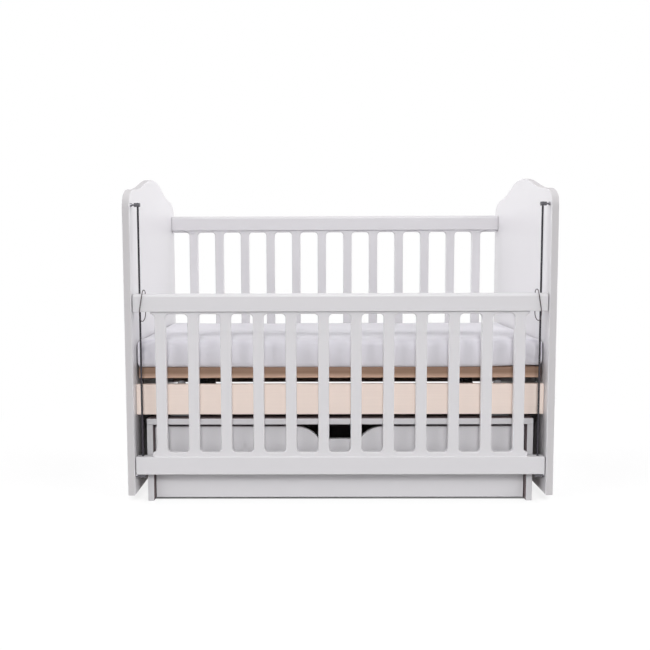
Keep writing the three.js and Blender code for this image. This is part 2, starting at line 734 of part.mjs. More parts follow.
// A drawer side with the slots for its two wheels. Its section's X runs outward and its Y up.
function drawerSide(length) {
  const bottom = 2 * drawerFloorGap;
  const height = drawerBoxHeight - bottom;
  const board = batten(caseThickness, height, length, 1).translate(0, bottom + height / 2, 0);
  const groove = new THREE.BoxGeometry(2 * drawerGroove, drawerBottomThickness + 2 * seat, 2 * length)
    .translate(-caseThickness / 2, drawerBottomHeight, 0);
  const slotRadius = wheelRadius + 1.5;
  const slots = [-1, 1].flatMap((way) => {
    const z = way * (length / 2 - wheelInset);
    const across = (geometry) => geometry.rotateZ(Math.PI / 2);
    const slot = across(cylinder(slotRadius, wheelWidth + 2 * wheelSidePlay, 24))
      .translate(0, wheelRadius, z);
    const cheek = (caseThickness - wheelWidth) / 2 - wheelSidePlay;
    const reach = caseThickness - cheek + axleSeatDepth;
    const bore = across(cylinder(axleRadius + pinFit, reach, 12))
      .translate(caseThickness / 2 - reach / 2, wheelRadius, z);
    return [slot, bore];
  });
  return cut(board, groove, ...slots);
}

// A wheel with its axle, along X and pointing outward. The outer axle end also guides the drawer.
function drawerWheel() {
  const half = wheelWidth / 2;
  const inner = caseThickness / 2 - (caseThickness - wheelWidth) / 2 + wheelSidePlay + axleSeatDepth - 0.4;
  const outer = caseThickness / 2 + drawerGap - guideGap;
  const tread = 1.2;
  const profile = [
    [0, -inner], [axleRadius, -inner], [axleRadius, -half], [wheelRadius - tread, -half],
    [wheelRadius, -half + tread], [wheelRadius, half - tread], [wheelRadius - tread, half],
    [axleRadius, half], [axleRadius, outer], [0, outer],
  ].map(([r, y]) => new THREE.Vector2(r, y));
  return new THREE.LatheGeometry(profile, 20);
}

function drawer() {
  const front = -baseHalfDepth + drawerFrontRecess;
  const boxFront = front + caseThickness + seat;
  const boxBack = baseHalfDepth - drawerBackGap;
  const length = boxBack - boxFront;
  const middle = (boxFront + boxBack) / 2;
  const sideX = drawerHalfLength - caseThickness / 2;
  const innerHalf = drawerHalfLength - caseThickness;
  const side = drawerSide(length);
  const wheel = drawerWheel();

  const bottomGroove = (width) => new THREE.BoxGeometry(width, drawerBottomThickness + 2 * seat,
    2 * drawerGroove);
  const frontBoard = cut(extrude(drawerFrontOutline(), caseThickness, 6),
    bottomGroove(2 * (innerHalf + drawerGroove)).translate(0, drawerBottomHeight, -caseThickness / 2));
  const backBottom = drawerBottomHeight - drawerBottomThickness * 2;
  const backHeight = drawerBoxHeight - backBottom;
  const backHalf = innerHalf - seat;
  const backBoard = cut(new THREE.BoxGeometry(2 * backHalf, backHeight, drawerBackThickness)
    .translate(0, backBottom + backHeight / 2, 0),
    bottomGroove(2 * innerHalf).translate(0, drawerBottomHeight, drawerBackThickness / 2));
  const backY = boxBack - drawerBackThickness / 2;
  const bottomFront = front + caseThickness - drawerGroove + seat;
  const bottomBack = boxBack - drawerBackThickness + drawerGroove - seat;
  const bottomHalf = innerHalf + drawerGroove - seat;
  const bottom = new THREE.BoxGeometry(2 * bottomHalf, bottomBack - bottomFront, drawerBottomThickness);

  return assembly([0, bedMiddle, 0],
    piece('drawer_front', frontBoard, whiteBoard, [0, front + caseThickness / 2, 0], upright),
    piece('drawer_back', backBoard, whiteBoard, [0, backY, 0], upright),
    piece('drawer_bottom', bottom, drawerPanel, [0, (bottomFront + bottomBack) / 2, drawerBottomHeight]),
    ...ends.map(([end, way]) => piece(`drawer_side_${end}`, side, whiteBoard,
      [way * sideX, middle, 0], facing(way))),
    ...faces.flatMap(([face, way]) => ends.map(([end, across]) => {
      const turn = new THREE.Quaternion().setFromAxisAngle(new THREE.Vector3(0, 0, 1), -across * Math.PI / 2);
      return piece(`drawer_wheel_${face}_${end}`, wheel, wheelPlastic,
        [across * sideX, middle + way * (length / 2 - wheelInset), wheelRadius], turn);
    })));
}

// ---- The crib ----

const group = assembly([0, 0, 0],
  baseCase(),
  drawer(),
  ...swingCorners(),
  ...endPanels(),
  ...beams(),
  backSide(),
  ...rodsAndEyes(),
  platform(),
  mattress(),
  dropSide());

export default group;
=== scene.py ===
"""Dresses the swinging crib: painted boards, laminate beams, a plywood platform, steel fittings, a
covered mattress and a plain studio. As a script, it builds every piece around the loaded frame."""

import math

import bmesh
import bpy
import numpy as np
from bpy.props import FloatProperty, FloatVectorProperty, IntProperty, PointerProperty
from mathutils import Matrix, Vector


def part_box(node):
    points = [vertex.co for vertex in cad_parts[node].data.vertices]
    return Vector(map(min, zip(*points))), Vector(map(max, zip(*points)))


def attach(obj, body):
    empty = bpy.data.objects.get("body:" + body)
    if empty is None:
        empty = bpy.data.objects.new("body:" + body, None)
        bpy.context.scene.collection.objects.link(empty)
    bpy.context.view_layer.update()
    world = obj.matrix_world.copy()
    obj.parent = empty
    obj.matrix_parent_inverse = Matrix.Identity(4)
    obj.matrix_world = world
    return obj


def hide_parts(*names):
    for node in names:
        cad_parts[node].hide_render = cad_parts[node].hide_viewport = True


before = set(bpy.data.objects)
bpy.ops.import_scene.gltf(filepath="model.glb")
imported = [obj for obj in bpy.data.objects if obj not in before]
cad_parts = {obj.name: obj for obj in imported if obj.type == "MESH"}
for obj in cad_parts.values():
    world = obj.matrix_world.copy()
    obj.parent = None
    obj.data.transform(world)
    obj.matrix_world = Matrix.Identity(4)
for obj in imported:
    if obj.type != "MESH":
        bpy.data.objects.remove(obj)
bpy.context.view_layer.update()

bl_info = {
    "name": "Swinging Crib",
    "version": (1, 0, 0),
    "blender": (4, 5, 0),
    "location": "3D View > Sidebar > Crib",
    "description": "Makes the boards, platform, mattress, fittings and studio of a swinging crib",
    "category": "Add Mesh",
}

ENDS = (("left", -1), ("right", 1))
FACES = (("front", -1), ("back", 1))
CORNERS = tuple((f"{face}_{end}", way, end, sign) for face, way in FACES for end, sign in ENDS)
PAST = 0.02  # how far a cutting tool reaches past what it cuts


# ---- Settings ----


def colour(name, what, default):
    return FloatVectorProperty(
        name=name, description=f"Colour of {what}", subtype="COLOR", size=3, min=0, max=1,
        default=default,
    )


def length(name, description, default, high=1.0):
    return FloatProperty(
        name=name, description=description, unit="LENGTH", min=0, max=high, precision=4,
        default=default,
    )


def amount(name, description, default):
    return FloatProperty(name=name, description=description, min=0, default=default)


class CribBoards(bpy.types.PropertyGroup):
    paint: colour("Paint", "the painted boards", (0.668, 0.655, 0.676))
    # Partly painted shade: the end panels' edges are darker than their faces, partly as sawn edges
    # take paint duller, partly as painted shade.
    edge_paint_and_shade: colour("Edge paint", "the painted edges of the end panels", (0.577, 0.56, 0.573))
    # Painted light: a lighter copy of the board paint, standing in for more light on the drawer's
    # front, which the drop side's slats shade.
    drawer_paint: colour("Drawer paint", "the drawer's front", (0.73, 0.717, 0.74))
    laminate: colour("Laminate", "the two long beams", (0.98, 0.835, 0.755))
    hardboard: colour("Hardboard", "the drawer's bottom", (0.16, 0.10, 0.065))
    # Painted shade: the case's flat faces take a dark colour in place of the shade in the narrow gaps
    # beside and above the case.
    case_shade: colour("Bare board", "the case's unpainted flat faces", (0.24, 0.195, 0.20))
    eased_edge: length("Eased edge", "Radius along the edges of the boards", 0.0015, 0.005)
    slat_edge: length("Slat edge", "Radius along the edges of the slats", 0.003, 0.006)
    rail_rounding: length("Rail rounding", "Radius along the upper rails' top edges", 0.010, 0.014)
    panel_edge: length("Panel edge", "Radius round the end panels", 0.0025, 0.006)


class CribPlatform(bpy.types.PropertyGroup):
    light_wood: colour("Light wood", "the platform between the grain lines", (0.76, 0.53, 0.405))
    dark_wood: colour("Dark wood", "the platform's grain lines", (0.60, 0.395, 0.285))
    grain: length("Grain", "Distance between the platform's grain lines", 0.009, 0.1)
    # Painted shade: the darker band on top of the platform's rails stands in for the mattress's
    # shadow on them.
    shadow_band: length("Band", "Height above which the platform's rails are darker", 0.389)
    shadow_band_edge: length("Band edge", "Height over which the darker band fades in", 0.014, 0.1)
    shadow_band_tint: colour("Band tint", "the darker band, times the wood's own", (0.44, 0.39, 0.35))


class CribMattress(bpy.types.PropertyGroup):
    cloth: colour("Cloth", "the mattress cover", (0.80, 0.785, 0.835))
    # Painted shade: the darker colour in the cover's creases stands in for the shade inside them.
    crease_shade: colour("Crease", "the cover's creases", (0.52, 0.50, 0.58))
    corner: length("Corner", "Radius of the mattress's corners, seen from above", 0.006, 0.2)
    shoulder: length("Shoulder", "Radius along the mattress's long top edges", 0.016, 0.04)
    end_shoulder: length("End shoulder", "Radius along the mattress's short top edges", 0.011, 0.04)
    hem: length("Hem", "Radius along the mattress's bottom edges", 0.004, 0.04)
    inset: length("Inset", "How much smaller the block is before the cover swells", 0.0035, 0.02)
    voxel: length("Voxel", "Size of the faces that the cover is simulated with", 0.010, 0.05)
    puff: length("Puff", "The most that the cover may swell", 0.0048, 0.02)
    pressure: amount("Pressure", "Air pressure inside the cover", 3.5)
    frames: IntProperty(name="Frames", description="Steps of the simulation", min=2, default=20)


class CribFittings(bpy.types.PropertyGroup):
    # Painted reflection: the rods' tint is far darker than chrome's own, standing in for the dark
    # studio that they reflect.
    chrome: colour("Chrome", "the rods", (0.066, 0.063, 0.073))
    wire: colour("Wire", "the latch wires", (0.095, 0.075, 0.08))
    zinc: colour("Zinc", "the links, brackets and screws", (0.38, 0.388, 0.405))
    stud: colour("Stud", "the knurled studs", (0.17, 0.166, 0.183))
    plastic: colour("Plastic", "the wheels", (0.020, 0.020, 0.022))
    cap: colour("Cap", "the covers over the panel bolts", (0.60, 0.59, 0.61))
    rod_radius: length("Rod radius", "Radius of the guide rods", 0.003, 0.004)
    cap_radius: length("Cap radius", "Radius of the covers over the panel bolts", 0.0065, 0.02)
    screw_head: length("Screw head", "Radius of the screw heads", 0.0042, 0.02)


class CribStage(bpy.types.PropertyGroup):
    floor: colour("Floor", "the floor", (0.93, 0.93, 0.93))
    bounce: amount("Bounce", "Share of light the floor throws back", 0.4)
    low_sides: amount("Low sides", "Light from low at both sides", 2.6)
    high_sides: amount("High sides", "Light from high at both sides", 3.35)
    behind: amount("Behind", "Light from low behind", 0.6)
    above: amount("Above", "Light from above", 0.25)
    key: amount("Key", "Power of the lamp in front, in watts", 1115)
    lens: amount("Lens", "Focal length in millimetres", 42.19)
    camera_place: FloatVectorProperty(
        name="Camera place", description="Where the camera stands", subtype="TRANSLATION", size=3,
        unit="LENGTH", default=(-0.0692, -2.5671, 0.7413),
    )
    camera_turn: FloatVectorProperty(
        name="Camera turn", description="How the camera is turned", subtype="EULER", size=3,
        default=(math.radians(85.354), math.radians(0.182), math.radians(0.393)),
    )
    camera_shift: FloatVectorProperty(
        name="Camera shift", description="Shift of the view, as a share of its width", size=2,
        default=(0.0216, -0.0125), precision=4,
    )


class CribSettings(bpy.types.PropertyGroup):
    boards: PointerProperty(type=CribBoards)
    platform: PointerProperty(type=CribPlatform)
    mattress: PointerProperty(type=CribMattress)
    fittings: PointerProperty(type=CribFittings)
    stage: PointerProperty(type=CribStage)


# ---- Materials ----


def _maths(operation, swapped=False):
    def method(self, other=0.0):
        first, second = (other, self) if swapped else (self, other)
        return self.finish.node("ShaderNodeMath", {0: first, 1: second}, operation=operation)

    return method


class Shade:
    """A shader value that Python's operators work on."""

    def __init__(self, finish, socket):
        self.finish, self.socket = finish, socket

    __add__ = _maths("ADD")
    __radd__ = _maths("ADD")
    __sub__ = _maths("SUBTRACT")
    __rsub__ = _maths("SUBTRACT", swapped=True)
    __mul__ = _maths("MULTIPLY")
    __rmul__ = _maths("MULTIPLY")
    __abs__ = _maths("ABSOLUTE")
    sine = _maths("SINE")


class Finish:
    """A material, or the world, and the nodes that make it."""

    def __init__(self, name=None, world=None):
        self.owner = world or bpy.data.materials.new(name)
        self.owner.use_nodes = True
        self.tree = self.owner.node_tree
        self.tree.nodes.clear()

    def node(self, kind, values=None, output=0, **settings):
        """Adds a node, sets it up, joins its sockets, and gives back one of its outputs."""
        made = self.tree.nodes.new(kind)
        for key, value in settings.items():
            setattr(made, key, value)
        for key, value in (values or {}).items():
            if isinstance(value, Shade):
                self.tree.links.new(value.socket, made.inputs[key])
            else:
                made.inputs[key].default_value = value
        return Shade(self, made.outputs[output])

    def along(self, axis, kind="Object"):
        """Each point's place along an axis: metres on a piece, and a direction in the world."""
        here = self.node("ShaderNodeTexCoord", output=kind)
        return self.node("ShaderNodeSeparateXYZ", {0: here}, output=axis)

    def step(self, value, start, stop, kind="SMOOTHSTEP"):
        """0 at the start, 1 at the stop, and smooth between."""
        return self.node(
            "ShaderNodeMapRange", {"Value": value, "From Min": start, "From Max": stop},
            interpolation_type=kind,
        )

    def seen(self):
        """1 for rays that show the background, straight or in metal, and 0 for the others."""
        kinds = ("Is Camera Ray", "Is Glossy Ray", "Is Transmission Ray")
        return sum(self.node("ShaderNodeLightPath", output=kind) for kind in kinds)

    def noise(self, scale, detail=2.0, distortion=0.0, stretch=(1, 1, 1)):
        """Noise in metres on the piece, with its place stretched along the piece's axes."""
        here = self.node("ShaderNodeTexCoord", output="Object")
        place = self.node("ShaderNodeMapping", {"Vector": here, "Scale": stretch})
        return self.node(
            "ShaderNodeTexNoise",
            {"Vector": place, "Scale": scale, "Detail": detail, "Distortion": distortion},
        )

    def mix(self, factor, first, second, blend="MIX"):
        def full(value):
            return value if isinstance(value, Shade) else (*value, 1)

        return self.node(
            "ShaderNodeMix", {0: factor, 6: full(first), 7: full(second)}, output=2,
            data_type="RGBA", blend_type=blend,
        )

    def mix_shaders(self, factor, first, second):
        return self.node("ShaderNodeMixShader", {0: factor, 1: first, 2: second})

    def bump(self, height, strength, distance):
        return self.node(
            "ShaderNodeBump", {"Height": height, "Strength": strength, "Distance": distance}
        )

    def shader(self, **values):
        """A surface shader, from its sockets' names with a low line for each space."""
        named = {key.replace("_", " "): value for key, value in values.items()}
        return self.node("ShaderNodeBsdfPrincipled", named)

    def surface(self, **values):
        return self.give(self.shader(**values))

    def give(self, shader):
        """Joins the shader to the end of the nodes."""
        world = isinstance(self.owner, bpy.types.World)
        kind = "ShaderNodeOutputWorld" if world else "ShaderNodeOutputMaterial"
        end = self.tree.nodes.new(kind)
        self.tree.links.new(shader.socket, end.inputs["Surface"])
        return self.owner


def scaled(values, share=1.0):
    """A colour or a stretch, times the share."""
    return tuple(value * share for value in values)


def painted(name, paint, sawn_and_shade=None):
    """Sprayed satin paint on a smooth board: a faint orange peel, with slightly duller patches. The
    second colour is matt and lies where a board is marked. On the end panels' edges it is partly the
    duller paint of a sawn edge and partly painted shade; on the case's flat faces it is painted
    shade."""
    finish = Finish(name)
    patches = finish.noise(3.0, 3.0)
    peel = finish.bump(finish.noise(650.0), 0.10, 0.0003)
    shader = finish.shader(
        Base_Color=finish.mix(patches * 0.5, scaled(paint), scaled(paint, 0.975)),
        Roughness=0.30 + patches * 0.12,
        Normal=peel,
        Specular_IOR_Level=0.45,
    )
    if sawn_and_shade is not None:
        marked = finish.node("ShaderNodeAttribute", output="Fac", attribute_name="edge")
        matt = finish.shader(
            Base_Color=finish.mix(patches * 0.5, scaled(sawn_and_shade), scaled(sawn_and_shade, 0.98)),
            Roughness=0.9, Normal=peel, Specular_IOR_Level=0.0,
        )
        shader = finish.mix_shaders(marked, shader, matt)
    return finish.give(shader)


def laminated(name, sheet):
    """A plain melamine sheet with a hint of straight grain along the beam."""
    finish = Finish(name)
    streaks = finish.noise(6.0, 4.0, 0.4, (0.6, 30, 55))
    tone = finish.mix(streaks, scaled(sheet), scaled(sheet, 0.94))
    pores = finish.noise(9.0, stretch=(4, 90, 160))
    return finish.surface(
        Base_Color=tone, Roughness=0.46 + streaks * 0.08, Normal=finish.bump(pores, 0.05, 0.0003)
    )


def grained(name, light, dark, spacing, along, shade=None):
    """Planed wood. The grain runs along X or Y, in wavering lines with darker late wood between. It
    may be darker in a band above a height, given as (where it starts, where it is full, tint). That
    band is painted shade: it stands in for the mattress's shadow on the top of the rails."""
    finish = Finish(name)
    across, drawn_out = 1 / spacing, 0.045
    shape = (drawn_out, 1, 1) if along == "X" else (1, drawn_out, 1)
    stretch = scaled(shape, across)
    wander = finish.noise(0.35, 3.0, 0.6, stretch)
    lines = finish.noise(1.0, 5.0, 1.4, stretch)
    fibres = finish.noise(1.0, 3.0, stretch=scaled(shape, across * 9))
    late = finish.node("ShaderNodeValToRGB", {0: lines * 0.75 + wander * 0.3})
    ramp = late.socket.node.color_ramp.elements
    ramp.new(0.5)
    for element, (at, grey) in zip(ramp, ((0.35, 0), (0.55, 0.45), (0.72, 1))):
        element.position, element.color = at, (grey, grey, grey, 1)
    tone = finish.mix(late, scaled(light), scaled(dark))
    tone = finish.mix(fibres * 0.35, tone, scaled(light, 0.82))
    # Painted shade: above the height the wood is tinted darker, in place of the mattress's shadow.
    if shade:
        start, full, tint = shade
        shadow_band = finish.step(finish.along("Z"), start, full, "LINEAR")
        tone = finish.mix(shadow_band, tone, finish.mix(1.0, tone, tint, "MULTIPLY"))
    return finish.surface(
        Base_Color=tone, Roughness=0.52 + fibres * 0.14,
        Normal=finish.bump(lines * 0.4 + fibres, 0.18, 0.0004),
    )


def metal(name, tint, roughness, grain, spread):
    """Plated steel, with a fine grain in its gloss and faint clouds in its tone."""
    finish = Finish(name)
    clouds, fine = finish.noise(60.0, 3.0), finish.noise(grain)
    tone = finish.mix(clouds, scaled(tint), scaled(tint, 1 - spread))
    return finish.surface(
        Base_Color=tone, Metallic=1.0, Roughness=roughness + fine * roughness * 0.5,
        Normal=finish.bump(fine, 0.06, 0.0001),
    )


def moulded(name, tint, roughness=0.42):
    """Moulded plastic with a finely grained skin."""
    finish = Finish(name)
    skin, wear = finish.noise(900.0), finish.noise(70.0, 3.0)
    worn = tuple(min(1, channel * 1.25 + 0.004) for channel in tint)
    tone = finish.mix(wear * 0.4, scaled(tint), worn)
    return finish.surface(
        Base_Color=tone, Roughness=roughness + wear * 0.14, Normal=finish.bump(skin, 0.12, 0.0002)
    )


def woven(name, cloth, crease_shade):
    """Plain-woven cotton: fine threads both ways, soft slubs, and painted shade, a darker colour, in
    the creases where marked.
    """
    finish = Finish(name)
    x, y, z = (finish.along(axis) for axis in "XYZ")
    spacing = 0.0008
    turn = math.pi / spacing
    threads = abs((x * turn).sine()) + abs(((y + z) * turn).sine())
    slubs = finish.noise(4.0, 3.0, stretch=(30, 30, 30))
    crease_shade_mask = finish.node("ShaderNodeAttribute", output="Fac", attribute_name="crease_shade")
    tone = finish.mix(slubs * 0.5, scaled(cloth), scaled(cloth, 0.96))
    tone = finish.mix(crease_shade_mask, tone, scaled(crease_shade))
    return finish.surface(
        Base_Color=tone,
        Roughness=0.86 + slubs * 0.1,
        Normal=finish.bump(threads * 0.5 + slubs, 0.22, 0.0005),
        Sheen_Weight=0.25,
        Sheen_Roughness=0.5,
    )


FINISHES = {}


def finish_of(name):
    """The named finish, made the first time that it is asked for."""
    if name not in FINISHES:
        crib = bpy.context.scene.crib
        boards, platform, fittings = crib.boards, crib.platform, crib.fittings
        wood = platform.light_wood, platform.dark_wood, platform.grain
        shadow_band = platform.shadow_band - platform.shadow_band_edge, platform.shadow_band, tuple(platform.shadow_band_tint)
        maker, *values = {
            "white_paint": (painted, boards.paint),
            "panel_paint": (painted, boards.paint, boards.edge_paint_and_shade),
            "case_paint": (painted, boards.paint, boards.case_shade),
            "drawer_paint": (painted, boards.drawer_paint),
            "beam_laminate": (laminated, boards.laminate),
            "hardboard": (laminated, boards.hardboard),
            "wood_lengthwise": (grained, *wood, "X", shadow_band),
            "wood_crosswise": (grained, *wood, "Y"),
            "chrome": (metal, fittings.chrome, 0.10, 500.0, 0.05),
            "wire": (metal, fittings.wire, 0.24, 700.0, 0.10),
            "zinc": (metal, fittings.zinc, 0.34, 900.0, 0.18),
            "stud": (metal, fittings.stud, 0.16, 700.0, 0.12),
            "wheel_plastic": (moulded, fittings.plastic),
            "cap_plastic": (moulded, fittings.cap, 0.34),
            "mattress_cloth": (woven, crib.mattress.cloth, crib.mattress.crease_shade),
        }[name]
        FINISHES[name] = maker(name, *values)
    return FINISHES[name]


def dress(obj, finish):
    obj.data.materials.clear()
    obj.data.materials.append(finish_of(finish))


def dress_nodes(finish, *nodes):
    for node in nodes:
        dress(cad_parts[node], finish)


# ---- Modelling ----


def deselect():
    """Back to object mode with nothing selected."""
    if bpy.context.object and bpy.context.object.mode != "OBJECT":
        bpy.ops.object.mode_set(mode="OBJECT")
    bpy.ops.object.select_all(action="DESELECT")


def only(obj):
    deselect()
    obj.select_set(True)
    bpy.context.view_layer.objects.active = obj


def settle(obj, name):
    """Names the piece and puts its place and size into its mesh."""
    only(obj)
    bpy.ops.object.transform_apply(location=True, rotation=True, scale=True)
    obj.name = obj.data.name = name
    return obj


def block(name, low, high):
    deselect()
    low, high = Vector(low), Vector(high)
    bpy.ops.mesh.primitive_cube_add(size=1, location=(low + high) / 2, scale=high - low)
    return settle(bpy.context.object, name)


def bar(name, radius, start, end, sides=32):
    """A cylinder between two points."""
    deselect()
    start, end = Vector(start), Vector(end)
    along = end - start
    bpy.ops.mesh.primitive_cylinder_add(
        vertices=sides, radius=radius, depth=along.length, location=(start + end) / 2,
        rotation=along.to_track_quat("Z", "Y").to_euler(),
    )
    return settle(bpy.context.object, name)


def aim(obj, place, facing):
    """Puts the piece's origin at the place, with its own Z axis along the facing."""
    obj.location = place
    obj.rotation_mode = "QUATERNION"
    obj.rotation_quaternion = Vector(facing).to_track_quat("Z", "Y")


def turned(name, profile, start, facing, sides=32):
    """A turned piece. Its profile lists (distance along the axis, radius), from the start on."""
    deselect()
    (first, radius), *steps = profile
    bpy.ops.mesh.primitive_circle_add(
        vertices=sides, radius=radius, location=(0, 0, first), fill_type="NGON"
    )
    obj = bpy.context.object
    bpy.ops.object.mode_set(mode="EDIT")
    bpy.ops.mesh.select_all(action="SELECT")
    at = first
    for place, wider in steps:
        bpy.ops.mesh.extrude_region_move(TRANSFORM_OT_translate={"value": (0, 0, place - at)})
        bpy.ops.transform.resize(value=(wider / radius, wider / radius, 1))
        at, radius = place, wider
    bpy.ops.mesh.select_all(action="SELECT")
    bpy.ops.mesh.normals_make_consistent(inside=False)
    bpy.ops.object.mode_set(mode="OBJECT")
    aim(obj, start, facing)
    return settle(obj, name)


def centre_of(node):
    low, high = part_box(node)
    return (low + high) / 2


def pick(obj, kind, test):
    """Goes into edit mode with just the faces or edges selected that pass the test."""
    only(obj)
    bpy.ops.object.mode_set(mode="EDIT")
    bpy.ops.mesh.select_mode(type=kind)
    bpy.ops.mesh.select_all(action="DESELECT")
    mesh = bmesh.from_edit_mesh(obj.data)
    for item in mesh.faces if kind == "FACE" else mesh.edges:
        if test(item):
            item.select_set(True)
    bmesh.update_edit_mesh(obj.data)


def runs_along(edge, axis):
    direction = (edge.verts[1].co - edge.verts[0].co).normalized()
    return abs(direction[axis]) > 0.999


def middle(edge):
    return (edge.verts[0].co + edge.verts[1].co) / 2


def bevel(obj, test, width, segments):
    pick(obj, "EDGE", test)
    bpy.ops.mesh.bevel(offset=width, segments=segments, affect="EDGES", clamp_overlap=True)
    bpy.ops.object.mode_set(mode="OBJECT")
    return obj


def inset(obj, test, *steps):
    """Insets the faces that pass the test, once for each (thickness, depth)."""
    pick(obj, "FACE", test)
    for thickness, depth in steps:
        bpy.ops.mesh.inset(thickness=thickness, depth=depth)
    bpy.ops.object.mode_set(mode="OBJECT")
    return obj


def modify(obj, kind, **settings):
    """Adds a modifier, sets it and applies it."""
    only(obj)
    bpy.ops.object.modifier_add(type=kind)
    modifier = obj.modifiers[-1]
    for key, value in settings.items():
        setattr(modifier, key, value)
    bpy.ops.object.modifier_apply(modifier=modifier.name)
    return obj


def carve(obj, *tools):
    """Cuts the tools out of the piece, and deletes them."""
    for tool in tools:
        modify(obj, "BOOLEAN", operation="DIFFERENCE", object=tool, solver="EXACT")
        bpy.data.objects.remove(tool)
    return obj


def ease(obj, width, segments=3, angle=50):
    """Rounds every edge that is sharper than the angle."""
    return modify(obj, "BEVEL", width=width, segments=segments, limit_method="ANGLE",
                  angle_limit=math.radians(angle), use_clamp_overlap=True, harden_normals=False)


def smooth(obj, angle=40):
    only(obj)
    bpy.ops.object.shade_smooth_by_angle(angle=math.radians(angle))
    return modify(obj, "WEIGHTED_NORMAL", weight=80, keep_sharp=True)


def eased_block(name, low, high, edge):
    return smooth(ease(block(name, low, high), edge))


def new_spline(curve, dimensions, count):
    """Gives the curve one spline of so many points, in place of its own."""
    curve.dimensions = dimensions
    curve.splines.remove(curve.splines[0])
    spline = curve.splines.new("BEZIER")
    spline.bezier_points.add(count - 1)
    return spline


def meshed(obj, name, weld, angle):
    """The curve made a mesh, with its seams joined and its faces turned outwards."""
    only(obj)
    bpy.ops.object.convert(target="MESH")
    obj = settle(bpy.context.object, name)
    pick(obj, "FACE", lambda face: True)
    bpy.ops.mesh.remove_doubles(threshold=weld)
    bpy.ops.mesh.dissolve_degenerate(threshold=1e-6)
    bpy.ops.mesh.normals_make_consistent(inside=False)
    bpy.ops.object.mode_set(mode="OBJECT")
    return smooth(obj, angle)


def mirrored(knots):
    """The right half of an outline, turned into its left half."""

    def flip(point):
        return (-point[0], point[1]) if point else None

    return [(flip(point), flip(after), flip(before)) for point, before, after in reversed(knots)]


def flat_board(name, outline, thickness, edge, place, turn):
    """A board with a curved outline. The outline is a list of (point, handle before, handle after),
    drawn flat, and the handles are None where the outline runs straight."""
    deselect()
    bpy.ops.curve.primitive_bezier_circle_add()
    obj = bpy.context.object
    curve = obj.data
    spline = new_spline(curve, "2D", len(outline))
    curve.fill_mode = "BOTH"
    spline.use_cyclic_u = True
    spline.resolution_u = 20
    for knot, (point, before, after) in zip(spline.bezier_points, outline):
        knot.handle_left_type = knot.handle_right_type = "FREE"
        knot.co = (*point, 0)
        knot.handle_left = (*(before or point), 0)
        knot.handle_right = (*(after or point), 0)
    curve.extrude = thickness / 2 - edge
    curve.bevel_depth = edge
    curve.bevel_resolution = 3
    curve.offset = -edge
    obj.location, obj.rotation_euler = place, turn
    return meshed(obj, name, 1e-5, 40)


def mark_faces(obj, share):
    """Stores on each face, from its normal, how far it takes the second colour of its finish."""
    mark = obj.data.attributes.new("edge", "FLOAT", "FACE")
    for face, value in zip(obj.data.polygons, mark.data):
        value.value = share(face.normal)


def trim(piece, body, finish):
    """The finished piece moves with a body."""
    dress(piece, finish)
    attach(piece, body)


def stand_in(piece, node, body, finish):
    """The finished piece takes the node's place, and moves with its body."""
    trim(piece, body, finish)
    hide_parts(node)


# ---- The pieces ----


class CRIB_OT_end_panels(bpy.types.Operator):
    """Make the two camelback end panels with rounded edges"""

    bl_idname = "crib.end_panels"
    bl_label = "End panels"

    def execute(self, context):
        low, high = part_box("end_panel_right")
        edge, floor, crest = high.y, low.z, high.z
        shoulder, reach, drop = crest - 0.052, 0.075, 0.060
        hump, hump_drop = 0.150, 0.028
        foot, swale = crest - hump_drop, edge - reach - hump
        # The shares below say how far each curve is pulled along its stretch of the outline.
        half = [
            ((edge, floor), None, None),
            ((edge, shoulder - drop), None, (edge, shoulder - drop * 0.38)),
            ((edge - reach, shoulder), (edge - reach * 0.66 * 0.515, shoulder - reach * 0.05),
             (edge - reach - swale * 0.35, shoulder + swale * 0.02)),
            ((hump, foot), (hump + swale * 0.28, foot - swale * 0.084),
             (hump * 0.67, foot + hump_drop * 0.54)),
        ]
        top = ((0, crest), (hump * 0.37, crest), (-hump * 0.37, crest))
        outline = [*half, top, *mirrored(half)]
        rounding = context.scene.crib.boards.panel_edge
        for end, _ in ENDS:
            node = f"end_panel_{end}"
            near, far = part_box(node)
            panel = flat_board(
                f"camelback_panel_{end}", outline, far.x - near.x, rounding,
                (centre_of(node).x, 0, 0), (math.pi / 2, 0, math.pi / 2),
            )
            # The edges take the darker edge colour: partly a sawn edge's paint, partly painted shade.
            mark_faces(panel, lambda normal: 1 - min(1, abs(normal.x) * 1.1))
            stand_in(panel, node, "crib", "panel_paint")
        return {"FINISHED"}


def slatted_board(name, node, outer, edge):
    """A board with round-cornered windows between its slats, and openings at both ends. The outer
    slats stand the given distance from its ends."""
    low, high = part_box(node)
    slats, slat, corner = 12, 0.032, 0.012
    bottom, top = low.z + 0.021, high.z - 0.015
    board = block(name, low, high)
    inner = high.x - outer
    pitch = (2 * inner - slat) / (slats - 1)

    def opening(start, stop, rounded):
        tool = block("opening", (start, low.y - PAST, bottom), (stop, high.y + PAST, top))
        return bevel(tool, lambda e: runs_along(e, 1) and rounded(middle(e).x), corner, 7)

    windows = opening(-inner + slat, -inner + pitch, lambda x: True)
    modify(windows, "ARRAY", count=slats - 1, use_relative_offset=False, use_constant_offset=True,
           constant_offset_displace=(pitch, 0, 0))
    left = opening(low.x - 2 * PAST, -inner, lambda x: x > low.x - PAST)
    right = opening(inner, high.x + 2 * PAST, lambda x: x < high.x + PAST)
    return smooth(ease(carve(board, windows, left, right), edge))


